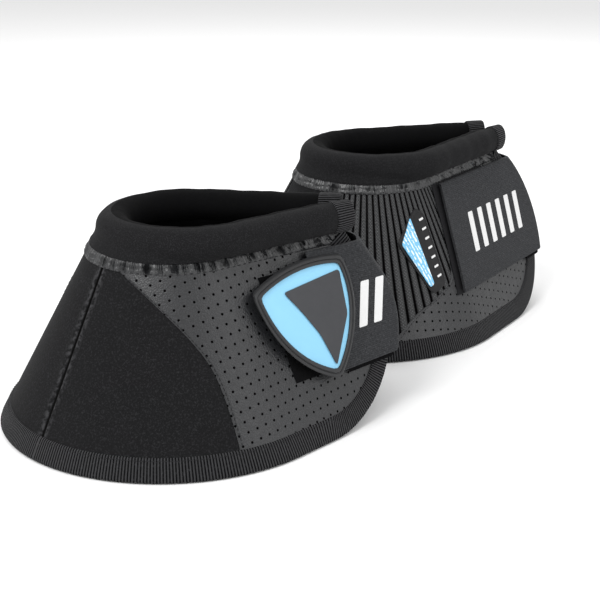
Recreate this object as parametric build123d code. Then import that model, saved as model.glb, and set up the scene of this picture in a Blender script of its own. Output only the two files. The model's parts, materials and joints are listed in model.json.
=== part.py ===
from build123d import *
import os
from math import asin, atan2, cos, degrees, pi, radians, sin, sqrt, tan

# A pair of over-reach boots (bell boots) for a horse. Units are millimetres, +Z is up.
# Each boot is built in its own frame: X runs from toe to heel, Y is sideways, and the hem
# stands on Z = 0. The finished pair is turned and moved into place at the end.
# The outer side of a boot carries the badge, and the inner side carries the sewn strap base.
# All wall surfaces are ruled between a hem outline and a collar outline. An outline is a toe
# circle and a heel circle with their two tangent lines, and an offset grows both circles.

# ---- the bell ----
WALL_HEIGHT = 96.5
LINING = 1.0
FOAM = 3.5
PANEL = 1.0
WALL = LINING + FOAM + PANEL
TOE_X_HEM = -7.7
TOE_R_HEM = 92.7
TOE_X_TOP = -6.0
TOE_R_TOP = 42.3
TOE_SEAM_ANGLE = radians(30)

# ---- seams between the panels, in side view: X and Z ----
OUTER_SEAM = [(10.0, -1.0), (8.0, 15.0), (0.5, 42.5), (-9.0, 59.0), (-25.0, 77.0), (-46.0, 97.5)]
INNER_TOE_SEAM = [(-82.0, -1.0), (-73.0, 35.0), (-60.0, 70.0), (-42.0, 97.5)]
INNER_SEAM = [(-58.0, -1.0), (-43.0, 12.5), (-27.0, 24.0), (-8.0, 32.0), (8.0, 44.0), (16.0, 97.5)]

# ---- binding, welt and collar ----
BINDING = 1.0
BINDING_WIDTH = 11.0
WELT = 1.4
WELT_HEIGHT = 6.0
COLLAR_TOE_X = 2.5
COLLAR_TOE_R = 39.0
COLLAR_HALF_WIDTH = 9.2
COLLAR_HALF_HEIGHT = 8.9
COLLAR_CENTRE_Z = WALL_HEIGHT + 7.4
NECK = 5.0
NECK_INSET = 0.3
ROLL_TURN_PAST_TOE = 60
TAB = 0.8
TAB_LENGTH = 12.0

# ---- strap ----
STRAP = 2.0
STRAP_GAP = 1.4
STRAP_FROM_WALL = BINDING + STRAP_GAP
STRAP_BOTTOM_Z = 30.5
STRAP_TOP_Z = 90.5
STRAP_CORNER_R = 4.0
STRAP_LEVELS = [27.0, 43.0, 59.0, 75.0, 92.0]
STRAP_BASE_X = 15.9
STRAP_BASE_LEAN = 4.0
STRAP_PEEL_BEFORE_HEEL = 16.0
STRAP_TIP_AFTER_HEEL = 30.0
STRAP_END = [(71.0, 20.0), (71.0, 30.0), (43.0, 52.0), (30.0, 76.5), (60.0, 86.0), (66.0, 100.0)]
HOOK_OUTLINE = [(70.0, 38.0), (47.0, 55.0), (36.0, 75.0), (60.0, 83.0), (66.0, 83.0), (76.0, 40.0)]
BACKING = 0.8
BACKING_DROP = 2.5
BACKING_BELOW_TOP = 4.0
HOOK = 1.0
LOOP_OUTLINE = [(46.0, 31.5), (80.0, 31.5), (70.0, 100.0), (26.0, 100.0)]
LOOP_TOP_Z = 83.0
BASE_PATCH_LOW_Z = 29.0
BASE_PATCH_FRONT_LOW = STRAP_BASE_X - 9
BASE_PATCH_FRONT_HIGH = STRAP_BASE_X - 1
BASE_PATCH_BEFORE_HEEL = 24.0
PATCH = 0.8

# ---- badge ----
BADGE_BASE = 1.4
BADGE_FRAME = 3.4
BADGE_INLAY = 0.8
BADGE_EMBLEM = 0.8
BADGE_BORDER = 3.8
BADGE_CLEARANCE = 0.2
BADGE_LEFT = (25.0, 78.0)
BADGE_TOP_RIGHT = (80.3, 86.3)
BADGE_BOTTOM = (71.4, 29.2)
BADGE_TOP_MID = (53.9, 87.6)
BADGE_RIGHT_MID = (85.8, 58.0)
BADGE_LOWER_MID = (40.6, 49.6)
EMBLEM_OUTLINE = [(43.0, 75.5), (78.0, 80.0), (80.5, 58.0), (70.0, 35.5), (62.0, 52.0), (53.0, 64.0)]

# ---- label on the inner side ----
LABEL = 0.9
LABEL_CORNER_R = 3.0
STRIPE = 0.5
LABEL_OUTLINE = [(-8.1, 81.5), (-26.6, 62.5), (-13.1, 33.0), (-0.6, 37.5), (-2.6, 78.0)]
LABEL_STRIPE = [(-13.6, 76.5), (-24.1, 62.2), (-13.6, 37.5), (-10.1, 39.0)]

BIG = 400.0


class Boot:
    """The measures in which the left and the right boot differ."""

    def __init__(self, name, outer, heel_x_hem, heel_r_hem, heel_x_top, heel_r_top,
                 corner_r, collar_heel_r, x, y, turn):
        self.name = name
        self.outer = outer
        self.heel_x_hem = heel_x_hem
        self.heel_r_hem = heel_r_hem
        self.heel_x_top = heel_x_top
        self.heel_r_top = heel_r_top
        self.corner_r = corner_r
        self.collar_heel_r = collar_heel_r
        self.x = x
        self.y = y
        self.turn = turn


# The right boot is fastened a little wider, so its hem stands further apart at the heel.
BOOTS = [
    Boot("left", -1, 146.8, 10.2, 85.0, 7.2, 45.4, 4.6, -61.2, -4.4, 15.4),
    Boot("right", 1, 177.1, 24.6, 99.0, 8.0, 53.9, 6.3, 45.9, 158.5, 36.2),
]


# ---------------------------------------------------------------- outlines and surfaces

def blend(low, high, z):
    """A measure that runs straight from its hem value to its collar value."""
    return low + (high - low) * z / WALL_HEIGHT


def wall_circles(boot, z, offset=0.0):
    """Toe centre, toe radius, heel centre and heel radius of the wall outline at height z."""
    toe_x = blend(TOE_X_HEM, TOE_X_TOP, z)
    toe_r = blend(TOE_R_HEM, TOE_R_TOP, z) + offset
    heel_x = blend(boot.heel_x_hem, boot.heel_x_top, z)
    heel_r = blend(boot.heel_r_hem, boot.heel_r_top, z) + offset
    return toe_x, toe_r, heel_x, heel_r


def wedge(toe_x, toe_r, heel_x, heel_r):
    """Angle between the boot's axis and each straight side."""
    return asin((toe_r - heel_r) / (heel_x - toe_x))


def on_circle(centre_x, centre_y, radius, angle, z):
    return Vector(centre_x + radius * cos(angle), centre_y + radius * sin(angle), z)


def ring_face(boot, z, offset):
    """The wall outline at height z as a face."""
    toe_x, toe_r, heel_x, heel_r = wall_circles(boot, z, offset)
    touch = pi / 2 - wedge(toe_x, toe_r, heel_x, heel_r)
    toe_left = on_circle(toe_x, 0, toe_r, touch, z)
    toe_right = on_circle(toe_x, 0, toe_r, -touch, z)
    heel_left = on_circle(heel_x, 0, heel_r, touch, z)
    heel_right = on_circle(heel_x, 0, heel_r, -touch, z)
    edges = [
        ThreePointArc(toe_left, on_circle(toe_x, 0, toe_r, pi, z), toe_right),
        Line(toe_right, heel_right),
        ThreePointArc(heel_right, on_circle(heel_x, 0, heel_r, 0, z), heel_left),
        Line(heel_left, toe_left),
    ]
    return make_face(edges)


def inside(boot, offset, low=0.0, high=WALL_HEIGHT):
    """The solid inside the wall surface at this offset, between two heights."""
    return loft([ring_face(boot, low, offset), ring_face(boot, high, offset)], ruled=True)


def shell(boot, outer_offset, inner_offset, low=0.0, high=WALL_HEIGHT):
    return inside(boot, outer_offset, low, high) - inside(boot, inner_offset, low, high)


def wall_y(boot, x, z, offset=0.0):
    """Half-width of the wall's straight side at a place along the boot."""
    toe_x, toe_r, heel_x, heel_r = wall_circles(boot, z, offset)
    angle = wedge(toe_x, toe_r, heel_x, heel_r)
    return (toe_r - (x - toe_x) * sin(angle)) / cos(angle)


# ---------------------------------------------------------------- side views and cutters

def heel_line_x(boot, z):
    """Where the heel edge of a flap stands before its lower corner is rounded."""
    toe_x, toe_r, heel_x, heel_r = wall_circles(boot, z, -WALL)
    return heel_x + heel_r * sin(wedge(toe_x, toe_r, heel_x, heel_r))


def flap_outline(boot, inset):
    """Side view of the wall, X and Z, with the rounded lower heel corner, drawn in by inset."""
    hem_x = heel_line_x(boot, 0)
    top_x = heel_line_x(boot, WALL_HEIGHT)
    slope = (top_x - hem_x) / WALL_HEIGHT
    shift = inset * sqrt(1 + slope * slope)
    corner = (hem_x - shift + slope * inset, inset)
    top_z = 2 * WALL_HEIGHT
    face = make_face(Polyline(
        (-BIG, inset), corner, (hem_x - shift + slope * top_z, top_z), (-BIG, top_z), close=True))
    sharp = [v for v in face.vertices() if abs(v.X - corner[0]) < 0.01 and abs(v.Y - inset) < 0.01]
    return fillet(sharp, boot.corner_r - inset)


def through(face, side=0):
    """A side view, X and Z, pushed through the boot: both ways, or to one side only."""
    upright = Plane.XZ * face
    if side == 0:
        return extrude(upright, BIG / 2, both=True)
    return extrude(upright, -side * BIG / 2)


def flap_end_x(boot, z):
    """The rearmost place of a flap at height z, with its rounded lower corner."""
    hem_x = heel_line_x(boot, 0)
    top_x = heel_line_x(boot, WALL_HEIGHT)
    lean = atan2(hem_x - top_x, WALL_HEIGHT)
    radius = boot.corner_r
    centre_x = hem_x - radius / tan((pi / 2 - lean) / 2)
    arc_top_z = radius + radius * sin(lean)
    if z < arc_top_z:
        return centre_x + sqrt(radius ** 2 - (radius - z) ** 2)
    return heel_line_x(boot, z)


def half_space(boot, side):
    """The outer or the inner half: the split runs from the toe seam to the middle of the heel."""
    seam = (TOE_X_HEM - BIG * cos(TOE_SEAM_ANGLE), boot.outer * BIG * sin(TOE_SEAM_ANGLE))
    points = [(TOE_X_HEM, 0), seam, (-BIG, side * BIG), (BIG, side * BIG), (BIG, 0)]
    if side != boot.outer:
        points.insert(2, (-BIG, boot.outer * BIG * sin(TOE_SEAM_ANGLE)))
    face = make_face(Polyline(*points, close=True))
    return Pos(0, 0, -50) * extrude(face, 250)


def polygon(points):
    return make_face(Polyline(*points, close=True))


# ---------------------------------------------------------------- walls of the bell

def wall_layer(boot, side, outer_offset, inner_offset):
    """One layer of the wall on one side, inside the binding's fold."""
    layer = shell(boot, outer_offset, inner_offset) & through(flap_outline(boot, BINDING))
    return layer & half_space(boot, side)


def make_lining(boot, side):
    return wall_layer(boot, side, -WALL + LINING, -WALL)


def make_foam(boot, side):
    return wall_layer(boot, side, -PANEL, -WALL + LINING)


def toe_region(seam):
    """Side view of everything toewards of a seam, which is a curve from hem to collar."""
    rear = Spline(*seam)
    start = rear @ 0
    end = rear @ 1
    back = Polyline(end, (-BIG, WALL_HEIGHT + 1), (-BIG, -1), start)
    return make_face([rear, back])


def make_outer_panels(boot):
    """The plain panel round the toe, and the perforated panel towards the heel."""
    skin = wall_layer(boot, boot.outer, 0, -PANEL)
    toe = through(toe_region(OUTER_SEAM))
    return skin & toe, skin - toe


def make_inner_panels(boot):
    """The plain toe panel, the ribbed panel behind it, and the perforated panel at the heel."""
    skin = wall_layer(boot, -boot.outer, 0, -PANEL)
    toe = through(toe_region(INNER_TOE_SEAM))
    ribbed = through(toe_region(INNER_SEAM))
    return skin & toe, (skin & ribbed) - toe, skin - ribbed


def make_welt(boot, side):
    """The padded top edge of the outer skin, just under the collar."""
    low = WALL_HEIGHT - WELT_HEIGHT
    band = shell(boot, WELT, 0, low, WALL_HEIGHT)
    return band & through(flap_outline(boot, TAB_LENGTH)) & half_space(boot, side)


def make_binding(boot, side):
    """Ribbed webbing folded over the hem, round the lower corner and up the heel edge."""
    band = shell(boot, BINDING, -WALL - BINDING) & through(flap_outline(boot, 0))
    band = band - through(flap_outline(boot, BINDING_WIDTH))
    core = shell(boot, 0, -WALL) & through(flap_outline(boot, BINDING))
    return (band - core) & half_space(boot, side)


# ---------------------------------------------------------------- collar

def roll_section(half_width, half_height):
    return Plane.XZ * Ellipse(half_width, half_height)


def make_roll(boot, side, grow, start_x):
    """The collar's roll on one side: a round turn at the toe and a straight run to the heel."""
    heel_x = heel_line_x(boot, WALL_HEIGHT)
    angle = asin((COLLAR_TOE_R - boot.collar_heel_r) / (heel_x - COLLAR_TOE_X))
    touch = degrees(pi / 2 - angle)
    length = (heel_x - COLLAR_TOE_X) * cos(angle)
    section = roll_section(COLLAR_HALF_WIDTH + grow, COLLAR_HALF_HEIGHT + grow)
    turn = revolve(Pos(COLLAR_TOE_R, 0, 0) * section, Axis.Z, 180 - touch + ROLL_TURN_PAST_TOE)
    turn = Rot(0, 0, touch) * turn
    run = extrude(Pos(COLLAR_TOE_R, 0, 0) * section, length + grow)
    run = Rot(0, 0, touch) * run
    # The roll was drawn on the +Y side, so the other side is its mirror image.
    roll = Pos(COLLAR_TOE_X, 0, COLLAR_CENTRE_Z) * (turn + run)
    if side < 0:
        roll = mirror(roll, Plane.XZ)
    seat = Pos(0, 0, WALL_HEIGHT + 50) * Box(BIG * 2, BIG * 2, 100)
    behind = Pos(start_x + BIG / 2, 0, 0) * Box(BIG, BIG * 2, BIG * 2)
    return roll & seat & half_space(boot, side) & behind


def make_collar(boot, side):
    """The padded roll, with a neck that carries the wall's top edge up into it."""
    neck = shell(boot, -NECK_INSET, -WALL + NECK_INSET, WALL_HEIGHT, WALL_HEIGHT + NECK)
    end_x = heel_line_x(boot, WALL_HEIGHT)
    before = Pos(end_x - BIG / 2, 0, WALL_HEIGHT) * Box(BIG, BIG * 2, BIG)
    return make_roll(boot, side, 0, -BIG / 2) + (neck & half_space(boot, side) & before)


def make_collar_tab(boot, side):
    """The binding's end, folded over the heel end of the collar."""
    start_x = heel_line_x(boot, WALL_HEIGHT) - TAB_LENGTH
    fold = make_roll(boot, side, TAB, start_x) - make_collar(boot, side)
    return max(fold.solids(), key=lambda solid: solid.volume)


# ---------------------------------------------------------------- strap

def strap_face(boot, z, offset):
    """Outline of the strap at height z: along both sides, and straight across the heel."""
    toe_x, toe_r, heel_x, heel_r = wall_circles(boot, z, STRAP_FROM_WALL)
    angle = wedge(toe_x, toe_r, heel_x, heel_r)
    touch = pi / 2 - angle
    radius = STRAP_CORNER_R + offset
    corner_x = flap_end_x(boot, z) + BINDING - STRAP_CORNER_R + STRAP_FROM_WALL
    corner_y = wall_y(boot, corner_x, z, STRAP_FROM_WALL) - STRAP_CORNER_R / cos(angle)
    toe_r = toe_r + offset
    toe_left = on_circle(toe_x, 0, toe_r, touch, z)
    toe_right = on_circle(toe_x, 0, toe_r, -touch, z)
    right_side = on_circle(corner_x, -corner_y, radius, -touch, z)
    right_mid = on_circle(corner_x, -corner_y, radius, -touch / 2, z)
    right_back = on_circle(corner_x, -corner_y, radius, 0, z)
    left_back = on_circle(corner_x, corner_y, radius, 0, z)
    left_mid = on_circle(corner_x, corner_y, radius, touch / 2, z)
    left_side = on_circle(corner_x, corner_y, radius, touch, z)
    edges = [
        ThreePointArc(toe_left, on_circle(toe_x, 0, toe_r, pi, z), toe_right),
        Line(toe_right, right_side),
        ThreePointArc(right_side, right_mid, right_back),
        Line(right_back, left_back),
        ThreePointArc(left_back, left_mid, left_side),
        Line(left_side, toe_left),
    ]
    return make_face(edges)


def strap_shell(boot, outer_offset, inner_offset, low, high):
    """A band that follows the strap's outline between two heights."""
    outer = loft([strap_face(boot, z, outer_offset) for z in STRAP_LEVELS], ruled=True)
    inner = loft([strap_face(boot, z, inner_offset) for z in STRAP_LEVELS], ruled=True)
    heights = Pos(0, 0, (low + high) / 2) * Box(BIG * 2, BIG * 2, high - low)
    return (outer - inner) & heights


def peel_x(boot, z):
    """Where the strap's free part starts, on the inner side just before the heel."""
    return flap_end_x(boot, z) - STRAP_PEEL_BEFORE_HEEL


def side_strip(points, side):
    """A side-view polygon pushed out to one side of the boot."""
    return through(polygon(points), side)


def before_line(low_x, high_x, margin=20.0):
    """Side-view points of everything toewards of a slanted line across the strap."""
    low = STRAP_BOTTOM_Z - margin
    high = STRAP_TOP_Z + margin
    slope = (high_x - low_x) / (STRAP_TOP_Z - STRAP_BOTTOM_Z)
    return [(-BIG, low), (low_x - slope * margin, low), (high_x + slope * margin, high), (-BIG, high)]


def tip_zone(boot):
    """Everything toewards of the heel span's front edge, on the outer side."""
    low = flap_end_x(boot, STRAP_BOTTOM_Z) - STRAP_TIP_AFTER_HEEL
    high = flap_end_x(boot, STRAP_TOP_Z) - STRAP_TIP_AFTER_HEEL
    return side_strip(before_line(low, high), boot.outer)


def make_strap(boot):
    """Sewn base, elastic span round the heel, its backing, and the free tip."""
    inner = -boot.outer
    band = strap_shell(boot, STRAP, 0, STRAP_BOTTOM_Z, STRAP_TOP_Z)
    under = strap_shell(boot, 0, -BACKING, STRAP_BOTTOM_Z - BACKING_DROP, STRAP_TOP_Z - BACKING_BELOW_TOP)
    peel_low = peel_x(boot, STRAP_BOTTOM_Z)
    peel_high = peel_x(boot, STRAP_TOP_Z)
    base_zone = side_strip(before_line(peel_low, peel_high), inner)
    free_zone = tip_zone(boot)
    start = side_strip(before_line(STRAP_BASE_X - STRAP_BASE_LEAN, STRAP_BASE_X + STRAP_BASE_LEAN), inner)
    end = side_strip([(-BIG, STRAP_END[0][1])] + STRAP_END + [(-BIG, STRAP_END[-1][1])], boot.outer)
    base = (band & base_zone) - start
    tip = (band & free_zone) - end
    span = band - base_zone - free_zone
    backing = under - base_zone - free_zone
    return base, span, backing, tip


def make_base_patch(boot):
    """The stitched patch that carries the strap's sewn base."""
    low = BASE_PATCH_LOW_Z
    band = shell(boot, PATCH, 0, low, WALL_HEIGHT - WELT_HEIGHT)
    rear_x = heel_line_x(boot, WALL_HEIGHT) - BASE_PATCH_BEFORE_HEEL
    zone = [(BASE_PATCH_FRONT_LOW, low), (rear_x, low), (rear_x, 100), (BASE_PATCH_FRONT_HIGH, 100)]
    return band & side_strip(zone, -boot.outer)


def make_loop_patch(boot):
    """The loop half of the fastening, sewn to the outer side under the strap's tip."""
    band = shell(boot, PATCH, 0, LOOP_OUTLINE[0][1], LOOP_TOP_Z)
    return band & side_strip(LOOP_OUTLINE, boot.outer)


def make_hook_patch(boot):
    """The hook half, sewn to the back of the strap's tip."""
    band = strap_shell(boot, 0, -HOOK, STRAP_BOTTOM_Z, STRAP_TOP_Z)
    return band & side_strip(HOOK_OUTLINE, boot.outer) & tip_zone(boot)


# ---------------------------------------------------------------- badge and label

def badge_outline(inset):
    """Side view of the badge: three bowed edges, drawn in by inset."""
    edges = [
        ThreePointArc(BADGE_LEFT, BADGE_TOP_MID, BADGE_TOP_RIGHT),
        ThreePointArc(BADGE_TOP_RIGHT, BADGE_RIGHT_MID, BADGE_BOTTOM),
        ThreePointArc(BADGE_BOTTOM, BADGE_LOWER_MID, BADGE_LEFT),
    ]
    face = make_face(edges)
    if inset > 0:
        face = offset(face, -inset, kind=Kind.INTERSECTION)
    return face


def emblem_outline():
    """A plain mark: a chevron on the heel half of the badge."""
    return polygon(EMBLEM_OUTLINE)


def badge_layer(boot, face, outer_offset, inner_offset):
    """A slab that lies on the strap's outer face, cut to a side-view outline."""
    slab = strap_shell(boot, outer_offset, inner_offset, STRAP_LEVELS[0], STRAP_LEVELS[-1])
    return slab & through(face, boot.outer)


def make_badge(boot):
    """Moulded frame with a floor, a coloured inlay in it, and a raised mark on the inlay."""
    base = STRAP
    floor = base + BADGE_BASE
    top = base + BADGE_FRAME
    whole = badge_layer(boot, badge_outline(0), top, base)
    well = badge_layer(boot, badge_outline(BADGE_BORDER), top + 1, floor)
    frame = whole - well
    inlay = badge_layer(boot, badge_outline(BADGE_BORDER + BADGE_CLEARANCE), floor + BADGE_INLAY, floor)
    emblem = badge_layer(boot, emblem_outline() & badge_outline(BADGE_BORDER + BADGE_CLEARANCE),
                         floor + BADGE_INLAY + BADGE_EMBLEM, floor + BADGE_INLAY)
    return frame, inlay, emblem


def make_label(boot):
    """A raised patch on the ribbed panel, with one bright stripe."""
    patch = fillet(polygon(LABEL_OUTLINE).vertices(), LABEL_CORNER_R)
    band = shell(boot, LABEL, 0, 10, 92)
    stripe_band = shell(boot, LABEL + STRIPE, LABEL, 10, 92)
    label = band & through(patch, -boot.outer)
    stripe = stripe_band & through(polygon(LABEL_STRIPE), -boot.outer)
    return label, stripe


# ---------------------------------------------------------------- one boot, then the pair

def make_boot(boot):
    """All pieces of one boot, in its own frame."""
    outer = boot.outer
    inner = -boot.outer
    pieces = {}
    for side, word in ((outer, "outer"), (inner, "inner")):
        pieces[word + "_lining"] = make_lining(boot, side)
        pieces[word + "_foam"] = make_foam(boot, side)
        pieces[word + "_welt"] = make_welt(boot, side)
        pieces[word + "_binding"] = make_binding(boot, side)
        pieces[word + "_collar"] = make_collar(boot, side)
        pieces[word + "_collar_tab"] = make_collar_tab(boot, side)
    pieces["toe_panel"], pieces["outer_perforated_panel"] = make_outer_panels(boot)
    toe, ribbed, rear = make_inner_panels(boot)
    pieces["inner_toe_panel"] = toe
    pieces["ribbed_panel"] = ribbed
    pieces["inner_perforated_panel"] = rear
    base, span, backing, tip = make_strap(boot)
    pieces["strap_base"] = base
    pieces["strap_heel_span"] = span
    pieces["strap_heel_backing"] = backing
    pieces["strap_tip"] = tip
    pieces["strap_base_patch"] = make_base_patch(boot)
    pieces["loop_patch"] = make_loop_patch(boot)
    pieces["hook_patch"] = make_hook_patch(boot)
    frame, inlay, emblem = make_badge(boot)
    pieces["badge_frame"] = frame
    pieces["badge_inlay"] = inlay
    pieces["badge_emblem"] = emblem
    label, stripe = make_label(boot)
    pieces["label_patch"] = label
    pieces["label_stripe"] = stripe
    return pieces


def in_place(boot, shape):
    return Pos(boot.x, boot.y, 0) * (Rot(0, 0, boot.turn) * shape)


def make_pair():
    """Every piece of both boots, with the origin under the middle of the pair."""
    pieces = {}
    for boot in BOOTS:
        for name, shape in make_boot(boot).items():
            pieces[boot.name + "_" + name] = in_place(boot, shape)
    boxes = [shape.bounding_box() for shape in pieces.values()]
    middle_x = (min(b.min.X for b in boxes) + max(b.max.X for b in boxes)) / 2
    middle_y = (min(b.min.Y for b in boxes) + max(b.max.Y for b in boxes)) / 2
    shift = Pos(-middle_x, -middle_y, 0)
    return {name: shift * shape for name, shape in pieces.items()}, (middle_x, middle_y)


def write_parts():
    os.makedirs("parts", exist_ok=True)
    pieces, middle = make_pair()
    for name, shape in pieces.items():
        export_step(shape, "parts/" + name + ".step")
    print("middle of the pair", middle)


if __name__ == "__main__":
    write_parts()
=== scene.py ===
import bpy
import bmesh
import json
import numpy as np
from math import asin, atan2, cos, pi, radians, sin, sqrt, tan
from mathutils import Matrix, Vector


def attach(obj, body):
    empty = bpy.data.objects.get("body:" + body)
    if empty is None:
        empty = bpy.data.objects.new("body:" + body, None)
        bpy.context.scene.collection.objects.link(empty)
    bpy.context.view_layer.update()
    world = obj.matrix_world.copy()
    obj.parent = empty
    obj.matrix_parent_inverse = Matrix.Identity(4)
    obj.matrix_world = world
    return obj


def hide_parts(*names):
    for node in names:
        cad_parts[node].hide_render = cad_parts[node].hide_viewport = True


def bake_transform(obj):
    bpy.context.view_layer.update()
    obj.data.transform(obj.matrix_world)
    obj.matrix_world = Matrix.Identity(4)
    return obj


# A pair of over-reach boots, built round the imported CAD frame.
# Each piece is shaped in its boot's own frame, in millimetres: X runs from toe to heel, Y is
# sideways and the hem stands on Z = 0. place() turns it into the row frame, in metres.

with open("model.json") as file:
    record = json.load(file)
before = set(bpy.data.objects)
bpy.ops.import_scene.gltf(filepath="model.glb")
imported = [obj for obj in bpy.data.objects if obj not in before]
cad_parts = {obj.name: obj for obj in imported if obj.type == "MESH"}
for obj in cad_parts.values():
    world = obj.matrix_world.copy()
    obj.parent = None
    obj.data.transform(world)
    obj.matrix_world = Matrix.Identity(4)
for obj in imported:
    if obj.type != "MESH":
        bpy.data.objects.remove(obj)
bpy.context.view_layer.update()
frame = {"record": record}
MM = 0.001

# ---- the same driving dimensions as the CAD ----
WALL_HEIGHT = 96.5
LINING = 1.0
PANEL = 1.0
WALL = 5.5
TOE_X_HEM = -7.7
TOE_R_HEM = 92.7
TOE_X_TOP = -6.0
TOE_R_TOP = 42.3
TOE_SEAM_ANGLE = radians(30)
BINDING = 1.0
BINDING_WIDTH = 11.0
WELT_HEIGHT = 6.0
PUCKERS = 24
LAYER_LOW_Z = 1.2
LAYER_HIGH_Z = WALL_HEIGHT - 0.4
COLLAR_TOE_X = 2.5
COLLAR_TOE_R = 39.0
COLLAR_HALF_WIDTH = 9.2
COLLAR_HALF_HEIGHT = 8.9
COLLAR_CENTRE_Z = WALL_HEIGHT + 7.4
TAB_LENGTH = 12.0
ROLL_PINCH_FROM = 1.68
ROLL_STEP = 1.6
PERFORATION_PITCH = 7.6
RIB_PITCH = 5.5
RIBS = 32
BRAID_PITCH = 1.7
STRAP = 2.0
STRAP_FROM_WALL = 2.4
STRAP_BOTTOM_Z = 30.5
STRAP_TOP_Z = 90.5
STRAP_CORNER_R = 4.0
STRAP_HEEL_BOW = 1.2
STRAP_BASE_X = 15.9
STRAP_BASE_LEAN = 4.0
BACKING_BELOW = 2.5
BACKING_TOP_GAP = 4.0
STRAP_PEEL_BEFORE_HEEL = 16.0
STRAP_TIP_AFTER_HEEL = 30.0
STRAP_END = [(71.0, 20.0), (71.0, 30.0), (43.0, 52.0), (30.0, 76.5), (60.0, 86.0), (66.0, 100.0)]
HOOK_OUTLINE = [(70.0, 38.0), (47.0, 55.0), (36.0, 75.0), (60.0, 83.0), (66.0, 83.0), (76.0, 40.0)]
LOOP_TOP_Z = 83.0
LOOP_FRONT_X = 46.0
LOOP_FRONT_SLANT = 20.0
LOOP_REAR_X = 80.0
LOOP_REAR_SLANT = 10.0
BASE_PATCH_AHEAD = 9.0
BASE_PATCH_SLANT = 8.0
BASE_PATCH_REAR_GAP = 24.0
PATCH_TOP_Z = 100.0
PATCH_OUT = 1.1
PATCH_IN = 0.36
BAR_BOTTOM_Z = 48.0
BAR_TOP_Z = 70.0
BAR_WIDTH = 5.5
BAR_SLANT = -4.0
BADGE_BASE = 1.4
BADGE_FRAME = 3.4
BADGE_BORDER = 3.8
BADGE_CORNERS = [(25.0, 78.0), (80.3, 86.3), (71.4, 29.2)]
BADGE_MIDDLES = [(53.9, 87.6), (85.8, 58.0), (40.6, 49.6)]
EMBLEM = [(43.0, 75.5), (78.0, 80.0), (80.5, 58.0), (70.0, 35.5), (62.0, 52.0), (53.0, 64.0)]
LABEL_OUTLINE = [(-8.1, 81.5), (-26.6, 62.5), (-13.1, 33.0), (-0.6, 37.5), (-2.6, 78.0)]
LABEL_STRIPE = [(-13.6, 76.5), (-24.1, 62.2), (-13.6, 37.5), (-10.1, 39.0)]
OUTER_SEAM = [(10.0, -1.0), (8.0, 15.0), (0.5, 42.5), (-9.0, 59.0), (-25.0, 77.0), (-46.0, 97.5)]
INNER_TOE_SEAM = [(-82.0, -1.0), (-73.0, 35.0), (-60.0, 70.0), (-42.0, 97.5)]
INNER_SEAM = [(-58.0, -1.0), (-43.0, 12.5), (-27.0, 24.0), (-8.0, 32.0), (8.0, 44.0), (16.0, 97.5)]
COLLAR_MOUNT_X = 20.0


class Boot:
    """The measures in which the boots differ, and the boot's place from the record's mounts."""

    def __init__(self, name, outer, heel_x_hem, heel_r_hem, heel_x_top, heel_r_top, corner_r,
                 collar_heel_r):
        self.name = name
        self.outer = outer
        self.hem = (TOE_X_HEM, TOE_R_HEM, heel_x_hem, heel_r_hem)
        self.top = (TOE_X_TOP, TOE_R_TOP, heel_x_top, heel_r_top)
        self.corner_r = corner_r
        self.collar_heel_r = collar_heel_r
        mounts = {m["name"]: Vector(m["pos_m"]) for m in frame["record"]["mounts"]}
        low = mounts[name + "_hem"].to_2d()
        high = mounts[name + "_collar"].to_2d()
        self.along = (high - low).normalized()
        self.origin = high - self.along * COLLAR_MOUNT_X * MM


LEFT = Boot("left", -1, 146.8, 10.2, 85.0, 7.2, 45.4, 4.6)
RIGHT = Boot("right", 1, 177.1, 24.6, 99.0, 8.0, 53.9, 6.3)


# ---- surfaces of one boot ----

def place(boot, points):
    """Points in a boot's frame, in millimetres, to the row frame, in metres."""
    p = np.asarray(points, float) * MM
    c, s = boot.along
    x = boot.origin.x + p[..., 0] * c - p[..., 1] * s
    y = boot.origin.y + p[..., 0] * s + p[..., 1] * c
    return np.stack([x, y, p[..., 2]], axis=-1)


def wall_circles(boot, z, off):
    """Toe centre, toe radius, heel centre and heel radius of the wall's outline at height z."""
    t = z / WALL_HEIGHT
    toe_x, toe_r, heel_x, heel_r = (a + (b - a) * t for a, b in zip(boot.hem, boot.top))
    return toe_x, toe_r + off, heel_x, heel_r + off


def seam_start(boot, side, centre_x, radius):
    """Angle on a toe circle where the toe seam crosses it, with this side's Y taken as positive."""
    sign = 1 if side == boot.outer else -1
    gap = TOE_X_HEM - centre_x
    c, s = -cos(TOE_SEAM_ANGLE), sign * sin(TOE_SEAM_ANGLE)
    reach = -gap * c + sqrt((gap * c) ** 2 - gap ** 2 + radius ** 2)
    return atan2(reach * s, gap + reach * c) % (2 * pi)


def touch_angle(circles):
    toe_x, toe_r, heel_x, heel_r = circles
    return pi / 2 - asin((toe_r - heel_r) / (heel_x - toe_x))


def arc_ends(boot, side, t):
    """Angles where the toe arc starts, at the seam, and ends, at share t of the wall's height."""
    starts = [seam_start(boot, side, c[0], c[1]) for c in (boot.hem, boot.top)]
    ends = [touch_angle(c) for c in (boot.hem, boot.top)]
    return (low + (high - low) * t for low, high in (starts, ends))


def outline(boot, side, circles, s, off):
    """X and Y of an outline: s is 0 at the toe seam, 1 where the arc ends, and 2 at the heel."""
    toe_x, toe_r, heel_x, heel_r = circles
    touch = touch_angle(circles)
    start = seam_start(boot, side, toe_x, toe_r)
    angle = start + (touch - start) * np.minimum(s, 1)
    reach = np.maximum(s - 1, 0)
    x = toe_x + (toe_r + off) * np.cos(angle) + reach * (heel_x - toe_x + (heel_r - toe_r) * cos(touch))
    y = (toe_r + off) * np.sin(angle) + reach * (heel_r - toe_r) * sin(touch)
    return x, y


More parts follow.
